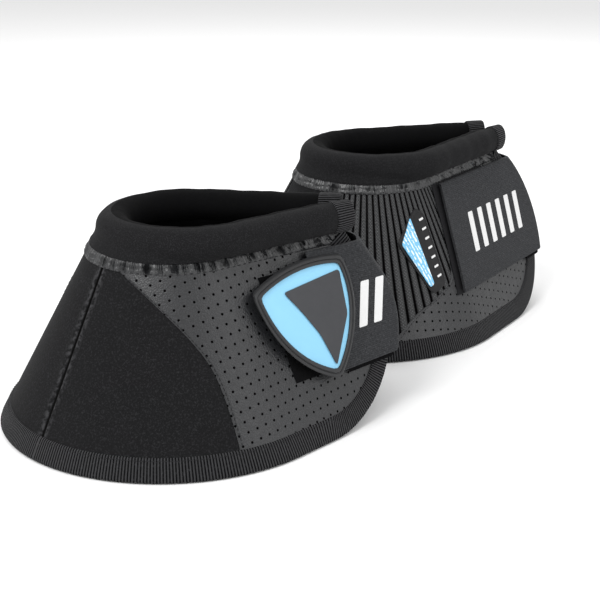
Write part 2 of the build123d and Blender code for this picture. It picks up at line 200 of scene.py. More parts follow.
def wall(boot, side, s, z, off):
    """Points on the wall's surface, drawn out by off, in the boot's frame."""
    s, z, off = np.broadcast_arrays(np.asarray(s, float), np.asarray(z, float), np.asarray(off, float))
    low_x, low_y = outline(boot, side, boot.hem, s, off)
    high_x, high_y = outline(boot, side, boot.top, s, off)
    t = z / WALL_HEIGHT
    return np.stack([low_x + (high_x - low_x) * t, side * (low_y + (high_y - low_y) * t), z], axis=-1)


def s_of_x(boot, side, x, z, off=0.0):
    """The outline parameter of a place that a side view gives by X and Z."""
    x, z, off = np.broadcast_arrays(np.asarray(x, float), np.asarray(z, float), np.asarray(off, float))
    t = z / WALL_HEIGHT
    touch_x = wall(boot, side, 1.0, z, off)[..., 0]
    heel_x = wall(boot, side, 2.0, z, off)[..., 0]
    toe_x, toe_r = wall_circles(boot, z, off)[:2]
    start, end = arc_ends(boot, side, t)
    angle = np.arccos(np.clip((x - toe_x) / toe_r, -1, 1))
    on_arc = (start - angle) / (start - end)
    on_side = 1 + (x - touch_x) / (heel_x - touch_x)
    return np.where(x > touch_x, on_side, on_arc)


def flat_uv(boot, side, s, z):
    """The wall rolled out flat, in metres, so that a pattern keeps its real size."""
    s, z = np.broadcast_arrays(np.asarray(s, float), np.asarray(z, float))
    t = z / WALL_HEIGHT
    slope = atan2(TOE_R_HEM - TOE_R_TOP, WALL_HEIGHT)
    radius = TOE_R_HEM + (TOE_R_TOP - TOE_R_HEM) * t
    start, end = arc_ends(boot, side, t)
    turn = (start - end) * np.minimum(s, 1) * sin(slope)
    from_apex = radius / sin(slope)
    a = wall(boot, side, 1.0, z, 0.0)
    b = wall(boot, side, 2.0, z, 0.0)
    run = np.maximum(s - 1, 0) * np.linalg.norm(b - a, axis=-1)
    u = from_apex * np.sin(turn) + run * np.cos(turn)
    v = -from_apex * np.cos(turn) + run * np.sin(turn)
    return np.stack([u, v], axis=-1) * MM


def heel_edge_x(boot, z):
    """X of a flap's heel edge at height z, before its lower corner is rounded."""
    low, high = (c[2] + (c[3] - WALL) * cos(touch_angle(c)) for c in (boot.hem, boot.top))
    return low + (high - low) * z / WALL_HEIGHT


def corner(boot):
    """Centre X, radius and lean of the rounded lower heel corner."""
    lean = atan2(heel_edge_x(boot, 0) - heel_edge_x(boot, WALL_HEIGHT), WALL_HEIGHT)
    centre_x = heel_edge_x(boot, 0) - boot.corner_r / tan((pi / 2 - lean) / 2)
    return centre_x, boot.corner_r, lean


def flap_end_x(boot, z):
    """X of a flap's heel edge at height z, with the rounded corner."""
    centre_x, radius, lean = corner(boot)
    z = np.asarray(z, float)
    on_arc = centre_x + np.sqrt(np.maximum(radius ** 2 - (radius - np.clip(z, 0, radius)) ** 2, 0))
    upper = centre_x + np.sqrt(np.maximum(radius ** 2 - (z - radius) ** 2, 0))
    round_part = np.where(z < radius, on_arc, upper)
    return np.where(z < radius + radius * sin(lean), round_part, heel_edge_x(boot, z))


def curve_through(points, count):
    """A smooth curve through side-view points: X and Z at count places."""
    p = np.array([points[0]] + list(points) + [points[-1]], float)
    result = []
    for u in np.linspace(0, len(points) - 1, count):
        i = min(int(u), len(points) - 2)
        f = u - i
        a, b, c, d = p[i:i + 4]
        result.append(0.5 * (2 * b + (c - a) * f + (2 * a - 5 * b + 4 * c - d) * f ** 2
                             + (3 * b - a - 3 * c + d) * f ** 3))
    return np.array(result)


def seam_s(boot, side, seam, z):
    """A seam between two panels as an outline parameter, never before the toe seam."""
    line = curve_through(seam, 120)
    x = np.interp(z, line[:, 1], line[:, 0])
    return np.maximum(s_of_x(boot, side, x, z), 0.004)


# ---- meshes ----

def make_object(name, boot, points, faces, mat, uv=None, sharp=40):
    """A mesh object from points in the boot's frame. uv gives each point's place on its texture."""
    name = boot.name + "_" + name
    mesh = bpy.data.meshes.new(name)
    mesh.from_pydata([tuple(p) for p in place(boot, points)], [], [tuple(f) for f in faces])
    mesh.update()
    obj = bpy.data.objects.new(name, mesh)
    bpy.context.scene.collection.objects.link(obj)
    if uv is not None:
        layer = mesh.uv_layers.new(name="UVMap")
        corners = np.zeros(len(mesh.loops), int)
        mesh.loops.foreach_get("vertex_index", corners)
        layer.data.foreach_set("uv", np.asarray(uv, float)[corners].ravel())
    bm = bmesh.new()
    bm.from_mesh(mesh)
    bmesh.ops.remove_doubles(bm, verts=bm.verts, dist=1e-6)
    bmesh.ops.recalc_face_normals(bm, faces=bm.faces)
    bm.to_mesh(mesh)
    bm.free()
    mesh.polygons.foreach_set("use_smooth", [True] * len(mesh.polygons))
    mesh.set_sharp_from_angle(angle=radians(sharp))
    mesh.materials.append(mat)
    return obj


def grid_faces(rows, cols, start=0, wrap_cols=False):
    faces = []
    for r in range(rows - 1):
        row = start + r * cols
        for c in range(cols if wrap_cols else cols - 1):
            after = (c + 1) % cols
            faces.append((row + c, row + after, row + cols + after, row + cols + c))
    return faces


def slab(name, boot, outer, inner, uv, mat, sharp=40):
    """A closed sheet between two grids of points in the boot's frame."""
    rows, cols = outer.shape[:2]
    points = np.concatenate([outer.reshape(-1, 3), inner.reshape(-1, 3)])
    size = rows * cols
    faces = grid_faces(rows, cols) + grid_faces(rows, cols, size)
    edge = [c for c in range(cols)]
    edge += [r * cols + cols - 1 for r in range(1, rows)]
    edge += [(rows - 1) * cols + c for c in range(cols - 2, -1, -1)]
    edge += [r * cols for r in range(rows - 2, 0, -1)]
    for i, a in enumerate(edge):
        b = edge[(i + 1) % len(edge)]
        faces.append((a, b, b + size, a + size))
    uvs = np.concatenate([uv.reshape(-1, 2), uv.reshape(-1, 2)])
    return make_object(name, boot, points, faces, mat, uvs, sharp)


def tube(name, boot, rings, uv, mat, sharp):
    """A closed skin through rings of points in the boot's frame, with flat ends."""
    rings = np.asarray(rings, float)
    rows, cols = rings.shape[:2]
    faces = grid_faces(rows, cols, wrap_cols=True)
    faces.append(tuple(range(cols)))
    faces.append(tuple((rows - 1) * cols + c for c in range(cols)))
    return make_object(name, boot, rings.reshape(-1, 3), faces, mat, uv.reshape(-1, 2), sharp)


def grid_uv(along, across):
    """Texture places for a grid, in metres, from its rows' and its columns' places in millimetres."""
    return np.stack(np.meshgrid(along, across, indexing="ij"), axis=-1) * MM


def lengths_along(points):
    """How far along a line each of its points lies."""
    return np.r_[0, np.cumsum(np.linalg.norm(np.diff(np.array(points), axis=0), axis=1))]


def edge_taper(rows, cols, reach):
    """0 on the border of a grid and 1 at reach points in from it."""
    r = np.minimum(np.arange(rows), np.arange(rows)[::-1])
    c = np.minimum(np.arange(cols), np.arange(cols)[::-1])
    return np.clip(np.minimum(r[:, None], c[None, :]) / reach, 0, 1)


# ---- materials ----

def srgb(r, g, b):
    """Screen colour, 0 to 255, to the linear colour that the shader takes."""
    def one(v):
        v = v / 255
        return v / 12.92 if v <= 0.04045 else ((v + 0.055) / 1.055) ** 2.4
    return (one(r), one(g), one(b), 1.0)


class Shader:
    """A Principled material with a few helpers that add nodes."""

    def __init__(self, name, colour, roughness, sheen=0.0, specular=0.5):
        self.mat = bpy.data.materials.new(name)
        self.mat.use_nodes = True
        self.nodes = self.mat.node_tree.nodes
        self.links = self.mat.node_tree.links
        self.surface = self.nodes["Principled BSDF"]
        self.surface.inputs["Base Color"].default_value = colour
        self.surface.inputs["Roughness"].default_value = roughness
        self.surface.inputs["Sheen Weight"].default_value = sheen
        self.surface.inputs["Sheen Roughness"].default_value = 0.5
        self.surface.inputs["Specular IOR Level"].default_value = specular
        self.colour = colour
        self.coordinates = self.nodes.new("ShaderNodeTexCoord")

    def add(self, kind, **values):
        node = self.nodes.new(kind)
        for key, value in values.items():
            setattr(node, key, value)
        return node

    def plug(self, source, node, socket):
        self.links.new(source, node.inputs[socket])

    def math(self, operation, a, b=None, clamp=False):
        node = self.add("ShaderNodeMath", operation=operation, use_clamp=clamp)
        for i, value in enumerate((a, b)):
            if value is None:
                continue
            if isinstance(value, (int, float)):
                node.inputs[i].default_value = value
            else:
                self.plug(value, node, i)
        return node.outputs[0]

    def noise(self, scale, detail=3.0):
        node = self.add("ShaderNodeTexNoise")
        node.inputs["Scale"].default_value = scale
        node.inputs["Detail"].default_value = detail
        node.inputs["Roughness"].default_value = 0.6
        self.plug(self.coordinates.outputs["Object"], node, "Vector")
        return node.outputs["Fac"]

    def voronoi(self, scale):
        node = self.add("ShaderNodeTexVoronoi")
        node.inputs["Scale"].default_value = scale
        self.plug(self.coordinates.outputs["Object"], node, "Vector")
        return node.outputs["Distance"]

    def vector_math(self, operation, vector, value=None):
        node = self.add("ShaderNodeVectorMath", operation=operation)
        self.plug(vector, node, 0)
        if value is not None:
            node.inputs[1].default_value = value
        return node

    def stretch(self, value, low, high, out_low=0.0, out_high=1.0):
        node = self.add("ShaderNodeMapRange")
        node.inputs["From Min"].default_value = low
        node.inputs["From Max"].default_value = high
        node.inputs["To Min"].default_value = out_low
        node.inputs["To Max"].default_value = out_high
        self.plug(value, node, "Value")
        return node.outputs["Result"]

    def uv_axes(self):
        node = self.add("ShaderNodeSeparateXYZ")
        self.plug(self.coordinates.outputs["UV"], node, "Vector")
        return node.outputs["X"], node.outputs["Y"]

    def wave(self, value, pitch):
        """0 to 1 and back, once every pitch metres."""
        turned = self.math("MULTIPLY", value, 2 * pi / pitch)
        half = self.math("MULTIPLY", self.math("SINE", turned), 0.5)
        return self.math("ADD", half, 0.5)

    def tint(self, mask, colour, share=1.0):
        """Mixes a second colour in where the mask is 1."""
        node = self.add("ShaderNodeMix", data_type="RGBA")
        scaled = self.math("MULTIPLY", mask, share, clamp=True)
        self.plug(scaled, node, 0)
        source = self.surface.inputs["Base Color"]
        if source.is_linked:
            self.plug(source.links[0].from_socket, node, 6)
        else:
            node.inputs[6].default_value = self.colour
        node.inputs[7].default_value = colour
        self.links.new(node.outputs[2], source)

    def dull(self, mask):
        """Takes the shine away where the mask is 1, as in holes and deep gaps."""
        shine = self.surface.inputs["Specular IOR Level"]
        kept = self.math("MULTIPLY", self.math("SUBTRACT", 1.0, mask), shine.default_value)
        self.links.new(kept, shine)

    def bump(self, height, depth, strength=1.0):
        """Raises the surface by depth millimetres where the height is 1."""
        node = self.add("ShaderNodeBump")
        node.inputs["Strength"].default_value = strength
        node.inputs["Distance"].default_value = depth * MM
        self.plug(height, node, "Height")
        normal = self.surface.inputs["Normal"]
        if normal.is_linked:
            self.plug(normal.links[0].from_socket, node, "Normal")
        self.links.new(node.outputs["Normal"], normal)

    def rough(self, value, low, high):
        self.plug(self.stretch(value, 0.25, 0.75, low, high), self.surface, "Roughness")


def jersey_material():
    m = Shader("collar_jersey", srgb(28, 28, 29), 0.9, sheen=0.02, specular=0.05)
    m.tint(m.noise(45, 4), srgb(16, 16, 17), 0.4)
    m.tint(m.stretch(m.noise(1900, 2), 0.5, 0.75), srgb(70, 70, 72), 0.4)
    m.bump(m.noise(1500, 3), 0.12, 0.6)
    m.bump(m.noise(90, 2), 0.5, 0.35)
    return m.mat


def plain_panel_material():
    m = Shader("plain_panel", srgb(25, 25, 26), 0.85, sheen=0.015, specular=0.08)
    m.tint(m.noise(60, 3), srgb(16, 16, 17), 0.5)
    m.tint(m.stretch(m.noise(1100, 3), 0.5, 0.7), srgb(52, 52, 54), 0.5)
    u = m.uv_axes()[0]
    away = m.math("ABSOLUTE", u)
    # Painted highlight: a lighter tint, broken up by noise, on the raised puckered shoulders 1.8 to 4.6
    # mm either side of the toe seam.
    shoulder_highlight = m.math("MULTIPLY", m.stretch(away, 0.0046, 0.0018), m.stretch(m.noise(420, 2), 0.42, 0.6))
    m.tint(shoulder_highlight, srgb(74, 74, 76), 0.6)
    # Painted shade: a near-black line along the bottom of the toe seam's groove.
    m.tint(m.stretch(away, 0.0015, 0.0008), srgb(3, 3, 3))
    m.bump(m.noise(900, 3), 0.2, 0.6)
    m.bump(m.noise(120, 3), 0.4, 0.3)
    return m.mat


def perforated_material():
    m = Shader("perforated_leather", srgb(33, 34, 36), 0.4, specular=0.55)
    m.tint(m.noise(30, 3), srgb(22, 22, 24), 0.5)
    m.tint(m.stretch(m.voronoi(1100), 0.5, 0.15), srgb(58, 59, 62), 0.35)
    m.rough(m.noise(300, 3), 0.34, 0.5)
    scale = m.vector_math("SCALE", m.coordinates.outputs["UV"])
    scale.inputs["Scale"].default_value = 1 / (PERFORATION_PITCH * MM)
    near = []
    for shift in (0.0, 0.5):
        moved = m.vector_math("ADD", scale.outputs[0], (shift, shift, 0))
        part = m.vector_math("FRACTION", moved.outputs[0])
        centred = m.vector_math("SUBTRACT", part.outputs[0], (0.5, 0.5, 0))
        near.append(m.vector_math("LENGTH", centred.outputs[0]).outputs["Value"])
    nearest = m.math("MINIMUM", near[0], near[1])
    hole = m.stretch(nearest, 0.078, 0.1, 1.0, 0.0)
    # The holes are painted near-black: the dark foam seen through them, with painted shade inside them.
    m.tint(hole, srgb(4, 4, 4))
    m.dull(hole)
    m.bump(m.voronoi(1100), 0.2, 0.7)
    m.bump(m.stretch(nearest, 0.07, 0.12), 0.25, 0.5)
    return m.mat


def gathered_material():
    """The same leather where it is drawn together, without holes and a little shinier."""
    m = Shader("gathered_leather", srgb(38, 39, 41), 0.36, specular=0.7)
    m.tint(m.noise(250, 3), srgb(20, 20, 21), 0.6)
    m.bump(m.voronoi(900), 0.16, 0.6)
    m.bump(m.noise(350, 3), 0.5, 0.6)
    return m.mat


def ribbed_material():
    """Cords with a braided knit on them, with painted shade in the gaps between them and a painted
    highlight on their crests.
    """
    m = Shader("ribbed_carbon_knit", srgb(31, 32, 33), 0.45, specular=0.45)
    u, v = m.uv_axes()
    cord = m.math("ABSOLUTE", m.math("SINE", m.math("MULTIPLY", u, pi / (RIB_PITCH * MM))))
    slant = m.math("MULTIPLY", u, 0.8)
    strands = [m.wave(m.math(turn, v, slant), BRAID_PITCH * MM) for turn in ("ADD", "SUBTRACT")]
    braid = m.math("MULTIPLY", strands[0], strands[1])
    gap = m.stretch(cord, 0.7, 0.3)
    # Painted shade: the gaps between the cords are tinted near-black.
    m.tint(gap, srgb(4, 4, 4), 0.97)
    m.dull(gap)
    # Painted highlight: a light tint where the braid and the cord are both high, on the crests.
    m.tint(m.stretch(m.math("MULTIPLY", braid, cord), 0.35, 0.8), srgb(104, 105, 108), 0.6)
    m.bump(braid, 0.3, 0.8)
    return m.mat


def webbing_material():
    m = Shader("webbing", srgb(46, 46, 48), 0.75, sheen=0.02, specular=0.4)
    u = m.uv_axes()[0]
    ribs = m.wave(u, 1.6 * MM)
    gap = m.stretch(ribs, 0.7, 0.2)
    # Painted shade: the gaps between the webbing's ribs are tinted nearly black.
    m.tint(gap, srgb(6, 6, 7), 0.9)
    m.dull(gap)
    m.tint(m.stretch(m.noise(800, 2), 0.55, 0.75), srgb(76, 76, 79), 0.35)
    m.bump(ribs, 0.6, 1.0)
    return m.mat


def elastic_material():
    m = Shader("strap_elastic", srgb(50, 51, 53), 0.85, sheen=0.03, specular=0.12)
    v = m.uv_axes()[1]
    rows = m.wave(v, 1.0 * MM)
    cells = m.noise(900, 2)
    m.tint(m.stretch(cells, 0.5, 0.68), srgb(88, 89, 92), 0.35)
    m.tint(m.stretch(m.noise(700, 3), 0.52, 0.7), srgb(26, 26, 28), 0.6)
    # Painted shade: dark lines in the furrows between the knit rows, where the bump is low.
    m.tint(m.stretch(rows, 0.35, 0.0), srgb(24, 24, 26), 0.35)
    m.bump(rows, 0.16, 0.7)
    m.bump(cells, 0.1, 0.6)
    return m.mat


def plain_material(name, colour, shade, roughness, grain, depth, specular):
    """A moulded or coated finish with a fine grain and a slow change between two sRGB shades."""
    m = Shader(name, srgb(*colour), roughness, specular=specular)
    m.tint(m.noise(grain / 12, 3), srgb(*shade), 0.4)
    m.rough(m.noise(grain / 3, 2), max(roughness - 0.08, 0.05), min(roughness + 0.08, 1.0))
    m.bump(m.noise(grain, 3), depth, 0.6)
    return m.mat


def stripe_material():
    """Blue and white streaks running along the stripe, broken up like a woven print."""
    m = Shader("label_stripe", srgb(120, 190, 228), 0.4, specular=0.4)
    u, v = m.uv_axes()
    across = m.math("ADD", u, m.math("MULTIPLY", v, 0.28))
    wobble = m.math("MULTIPLY", m.noise(160, 2), 0.0022)
    streak = m.wave(m.math("ADD", across, wobble), 2.1 * MM)
    broken = m.math("MULTIPLY", streak, m.stretch(m.noise(420, 3), 0.3, 0.6))
    m.tint(m.stretch(broken, 0.35, 0.6), srgb(236, 246, 252))
    m.tint(m.stretch(m.noise(260, 3), 0.6, 0.68), srgb(58, 126, 176), 0.7)
    return m.mat


JERSEY = jersey_material()
PLAIN = plain_panel_material()
PERFORATED = perforated_material()
RIBBED = ribbed_material()
GATHERED = gathered_material()
WEBBING = webbing_material()
ELASTIC = elastic_material()
LINING_KNIT = plain_material("lining_knit", (14, 14, 15), (8, 8, 8), 0.95, 1500, 0.15, 0.05)
NEOPRENE = plain_material("neoprene", (24, 24, 25), (16, 16, 16), 0.9, 900, 0.1, 0.1)
PATCH_CLOTH = plain_material("strap_base_patch", (26, 26, 28), (18, 18, 19), 0.75, 1600, 0.12, 0.15)
HOOK_CLOTH = plain_material("hook_and_loop", (15, 15, 16), (8, 8, 8), 0.95, 2200, 0.3, 0.05)
BADGE_RUBBER = plain_material("badge_rubber", (46, 47, 49), (40, 38, 36), 0.5, 900, 0.03, 0.35)
BADGE_BLUE = plain_material("badge_inlay", (144, 205, 236), (136, 198, 231), 0.45, 700, 0.02, 0.3)
BADGE_DARK = plain_material("badge_emblem", (62, 63, 66), (54, 54, 57), 0.5, 900, 0.03, 0.3)
LABEL_RUBBER = plain_material("label_rubber", (18, 18, 20), (14, 14, 15), 0.5, 1200, 0.04, 0.3)
STRIPE_INK = stripe_material()
WHITE_PRINT = plain_material("white_print", (226, 226, 226), (214, 214, 214), 0.6, 1500, 0.04, 0.3)
THREAD = plain_material("thread", (38, 38, 40), (24, 24, 25), 0.7, 2600, 0.06, 0.2)


# ---- riding and naming ----

def hang(obj, boot, body, nodes=(), toe=False):
    """obj moves with a body, or, behind the toe seam, has its place baked into its mesh and moves with
    none.
    """
    if toe:
        start = Vector(place(boot, wall(boot, boot.outer, 0.0, WALL_HEIGHT / 2, -WALL / 2)))
        a, b = (place(boot, wall(boot, boot.outer, s, 0.0, 0.0)) for s in (0.0, 0.02))
        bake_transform(obj)
    else:
        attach(obj, boot.name + "_" + body)
    if nodes:
        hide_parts(*[boot.name + "_" + n for n in nodes])
    return obj


def hang_side(obj, boot, side, nodes=()):
    """obj moves with the boot on its inner side; on its outer side its place is baked into its mesh."""
    hang(obj, boot, "boot", nodes, toe=side == boot.outer)


def side_word(boot, side):
    return "outer" if side == boot.outer else "inner"


def stitches(name, boot, points, normals, step, length, thick):
    """A row of sewn stitches along a line of points in the boot's frame."""
    points = np.asarray(points, float)
    normals = np.asarray(normals, float)
    lengths = lengths_along(points)
    verts, faces = [], []
    shares = [(-0.5, 0.15), (-0.3, 0.85), (0.0, 1.0), (0.3, 0.85), (0.5, 0.15)]

    def at_length(rows, length):
        return np.array([np.interp(length, lengths, rows[:, k]) for k in range(3)])

    for at in np.arange(step / 2, lengths[-1] - step / 2, step):
        here = at_length(points, at)
        along = at_length(points, at + 0.2) - here
        along /= np.linalg.norm(along)
        up = at_length(normals, at)
        up /= np.linalg.norm(up)
        wide = np.cross(up, along)
        first = len(verts)
        for share, fat in shares:
            for k in range(6):
                a = 2 * pi * k / 6
                verts.append(here + along * share * length + (wide * cos(a) + up * sin(a)) * thick * fat)
        faces += grid_faces(len(shares), 6, first, wrap_cols=True)
        faces.append(tuple(first + k for k in range(6)))
        faces.append(tuple(first + 6 * (len(shares) - 1) + k for k in range(6)))
    return make_object(name, boot, np.array(verts), faces, THREAD)


def wall_normal(boot, side, s, z):
    return wall(boot, side, s, z, 1.0) - wall(boot, side, s, z, 0.0)


def sew(name, boot, side, s, z, off, step, length, thick):
    """A row of stitches on the wall, from step, length and thickness in millimetres."""
    row = stitches(name, boot, wall(boot, side, s, z, off), wall_normal(boot, side, s, z), step, length,
                   thick)
    hang_side(row, boot, side)


# ---- layers of the wall ----

def layer_grid(z, s_from, s_to, cols):
    """Columns that run evenly between two borders, for each height in z."""
    share = np.linspace(0, 1, cols)
    s = s_from[:, None] + (s_to - s_from)[:, None] * share[None, :]
    return s, np.repeat(z[:, None], cols, axis=1)


def end_s(boot, side, z, inset, off=0.0):
    return s_of_x(boot, side, flap_end_x(boot, z) - inset, z, off)


def cut_as_sheet(boot, side, s, z, off):
    """A layer that was cut flat, then stretched over the foam and stitched down; this only works out its
    points on the wall and does nothing with them.
    """
    grid = wall(boot, side, s, z, off)


def plain_layer(boot, side, name, outer_off, inner_off, mat):
    """A layer that runs from the toe seam to the heel edge."""
    z = LAYER_LOW_Z + (LAYER_HIGH_Z - LAYER_LOW_Z) * np.linspace(0, 1, 26) ** 1.3
    s, zz = layer_grid(z, np.zeros(len(z)), end_s(boot, side, z, BINDING + 0.3, inner_off), 90)
    outer = wall(boot, side, s, zz, outer_off)
    inner = wall(boot, side, s, zz, inner_off)
    return slab(name, boot, outer, inner, flat_uv(boot, side, s, zz), mat)


def make_lining(boot, side):
    word = side_word(boot, side)
    obj = plain_layer(boot, side, word + "_knit_lining", -WALL + LINING, -WALL, LINING_KNIT)
    hang_side(obj, boot, side, [word + "_lining"])
    z = np.linspace(LAYER_LOW_Z, LAYER_HIGH_Z, 26)
    s, zz = layer_grid(z, np.zeros(len(z)), end_s(boot, side, z, BINDING + 0.3, -WALL), 60)
    cut_as_sheet(boot, side, s, zz, -WALL)


def make_foam(boot, side):
    word = side_word(boot, side)
    obj = plain_layer(boot, side, word + "_foam_core", -PANEL, -WALL + LINING, NEOPRENE)
    hang_side(obj, boot, side, [word + "_foam"])


def panel(name, boot, side, first, last, rows, cols, mat, node, shape=None):
    """One panel of the skin between two borders. shape(s, z, edge) gives its relief."""
    z = np.linspace(LAYER_LOW_Z, WALL_HEIGHT - 1, rows)
    s, zz = layer_grid(z, first(z), last(z), cols)
    edge = edge_taper(rows, cols, 2)
    off = shape(s, zz, edge) if shape else -0.35 * (1 - edge)
    uv = flat_uv(boot, side, s, zz)
    if mat == RIBBED:
        uv = np.stack([s * RIBS * RIB_PITCH, zz], axis=-1) * MM
    obj = slab(name, boot, wall(boot, side, s, zz, off), wall(boot, side, s, zz, -PANEL), uv, mat, 60)
    hang_side(obj, boot, side, [node])
    cut_as_sheet(boot, side, s, zz, -PANEL)


def toe_groove(s, z, edge):
    """Both toe panels dip into the sewn toe seam."""
    shoulder = np.exp(-((s - 0.022) / 0.012) ** 2) * (0.7 + 0.3 * np.sin(z * 2 * pi / 3.1 + s * 60))
    return -0.3 * (1 - edge) - 0.9 * np.exp(-(s / 0.008) ** 2) + 0.45 * shoulder * edge


def raised_ribs(s, z, edge):
    """Rounded cords, a little uneven, as in a knit."""
    cord = np.abs(np.sin(s * RIBS * pi)) ** 0.6
    knot = 0.12 * np.sin(z * 2 * pi / 2.6 + np.floor(s * RIBS) * 2.4)
    return (1.0 * (cord - 0.75) + knot * cord) * edge - 0.3 * (1 - edge)


def make_panels(boot):
    outer, inner = boot.outer, -boot.outer

    def at_seam(side, seam):
        return lambda z: seam_s(boot, side, seam, z)

    def at_toe(z):
        return np.zeros(len(z))

    def at_heel(side):
        return lambda z: end_s(boot, side, z, 3.0)

    def smooth(s, z, edge):
        return 0.3 * edge

    panel("outer_toe_skin", boot, outer, at_toe, at_seam(outer, OUTER_SEAM), 60, 150, PLAIN,
          "toe_panel", toe_groove)
    panel("outer_perforated_skin", boot, outer, at_seam(outer, OUTER_SEAM), at_heel(outer), 60, 120,
          PERFORATED, "outer_perforated_panel", smooth)
    panel("inner_toe_skin", boot, inner, at_toe, at_seam(inner, INNER_TOE_SEAM), 60, 110, PLAIN,
          "inner_toe_panel", toe_groove)
    panel("inner_ribbed_skin", boot, inner, at_seam(inner, INNER_TOE_SEAM), at_seam(inner, INNER_SEAM),
          150, 330, RIBBED, "ribbed_panel", raised_ribs)
    panel("inner_perforated_skin", boot, inner, at_seam(inner, INNER_SEAM), at_heel(inner), 60, 120,
          PERFORATED, "inner_perforated_panel", smooth)
    z = np.linspace(BINDING_WIDTH + 1, WALL_HEIGHT - WELT_HEIGHT - 2, 60)
    for side, seam, word in ((outer, OUTER_SEAM, "outer"), (inner, INNER_SEAM, "inner")):
        sew(word + "_seam_stitches", boot, side, seam_s(boot, side, seam, z) + 0.012, z, 0.34, 2.6, 1.9,
            0.22)
    for side, word in ((outer, "outer"), (inner, "inner")):
        sew(word + "_toe_stitches", boot, side, np.full(len(z), 0.026), z, 0.02, 3.0, 2.0, 0.25)


def make_welt(boot, side):
    """The top edge of the skin, gathered in small puckers under the collar."""
    word = side_word(boot, side)
    rows, cols = 14, 520
    low = WALL_HEIGHT - WELT_HEIGHT
    z = np.linspace(low, WALL_HEIGHT + 0.2, rows)
    s, zz = layer_grid(z, np.zeros(rows), end_s(boot, side, z, TAB_LENGTH - 1.0), cols)
    rise = np.sin(pi * np.linspace(0.03, 0.97, rows)) ** 0.7
    drift = 2.6 * np.sin(s * 23) + 1.7 * np.sin(s * 61) + zz * 0.25 * np.sin(s * 31)
    fold = np.sin(s * 2 * pi * PUCKERS + drift) * 0.5 + 0.5
    wander = 0.5 + 0.5 * np.sin(s * 47 + 2.0)
    crease = np.exp(-((zz - low - 2.6 - 0.5 * np.sin(s * 37)) / 0.7) ** 2)
    off = 0.3 + (0.45 + (0.4 + 0.6 * wander) * fold - 0.35 * crease) * rise[:, None]
    outer = wall(boot, side, s, zz, off)
    inner = wall(boot, side, s, zz, 0.02)
    obj = slab(word + "_puckered_welt", boot, outer, inner, flat_uv(boot, side, s, zz), GATHERED, 60)
    hang_side(obj, boot, side, [word + "_welt"])
    s = np.linspace(0.01, float(end_s(boot, side, low, TAB_LENGTH)), 200)
    sew(word + "_welt_stitches", boot, side, s, low + 0.3, 0.5, 3.4, 2.2, 0.3)


def binding_stations(boot, side):
    """Along the edge: outline parameter or X, height, inward direction and length so far."""
    centre_x, radius, lean = corner(boot)
    s_corner = float(s_of_x(boot, side, centre_x, 0.0))
    stations = []
    for s in np.linspace(0, s_corner, 170)[:-1]:
        x = wall(boot, side, s, 0.0, 0.0)[0]
        stations.append((s, x, 0.0, 0.0, 1.0))
    for a in np.linspace(-pi / 2, lean, 50)[:-1]:
        stations.append((None, centre_x + radius * cos(a), radius + radius * sin(a), -cos(a), -sin(a)))
    z_from = radius + radius * sin(lean)
    for z in np.linspace(z_from, WALL_HEIGHT + 0.5, 30):
        stations.append((None, float(heel_edge_x(boot, z)), z, -cos(lean), -sin(lean)))
    return stations, s_corner


def make_binding(boot, side):
    """Ribbed webbing folded round the hem, the lower corner and the heel edge."""
    word = side_word(boot, side)
    width = BINDING_WIDTH
    front = [(width, 0.1), (width - 0.3, 0.8), (width - 1.2, 1.0), (width * 0.6, 1.1), (2.0, 1.05),
             (0.7, 0.8), (0.15, 0.2)]
    back = [(inset, -WALL - off) for inset, off in front[::-1]]
    fold = [(0.0, -1.2), (0.0, -WALL + 1.2)]
    under = [(width * 0.5, -WALL - 0.05), (1.0, -WALL + 0.1), (1.0, -0.1), (width * 0.5, 0.05)]
    section = front + fold + back + under
    stations, s_corner = binding_stations(boot, side)
    inset = np.array([p[0] for p in section])
    off = np.array([p[1] for p in section])
    rings = []
    for s, x, z, nx, nz in stations:
        if s is None:
            px, pz = x + nx * inset, z + nz * inset
            ps = s_of_x(boot, side, px, pz, off)
        elif s > 1:
            pz = inset
            by_x = s_of_x(boot, side, np.full(len(section), x), pz, off)
            ps = s + (by_x - s) * np.clip((s - 1) / max(s_corner - 1, 0.01), 0, 1) ** 2
        else:
            ps, pz = np.full(len(section), s), inset
        rings.append(wall(boot, side, ps, pz, off))
    uv = grid_uv(lengths_along([ring[4] for ring in rings]), lengths_along(section))
    obj = tube(word + "_edge_binding", boot, rings, uv, WEBBING, 60)
    hang_side(obj, boot, side, [word + "_binding"])
    seat = np.array(rings)[2:-2, 2]
    up = np.array([wall_normal(boot, side, float(s_of_x(boot, side, p[0], p[2])), p[2]) for p in seat])
    row = stitches(word + "_binding_stitches", boot, seat + up * 0.05, up, 3.0, 2.1, 0.22)
    hang_side(row, boot, side)


# ---- collar ----

def collar_circles(boot):
    return (COLLAR_TOE_X, COLLAR_TOE_R, float(heel_edge_x(boot, WALL_HEIGHT)), boot.collar_heel_r)


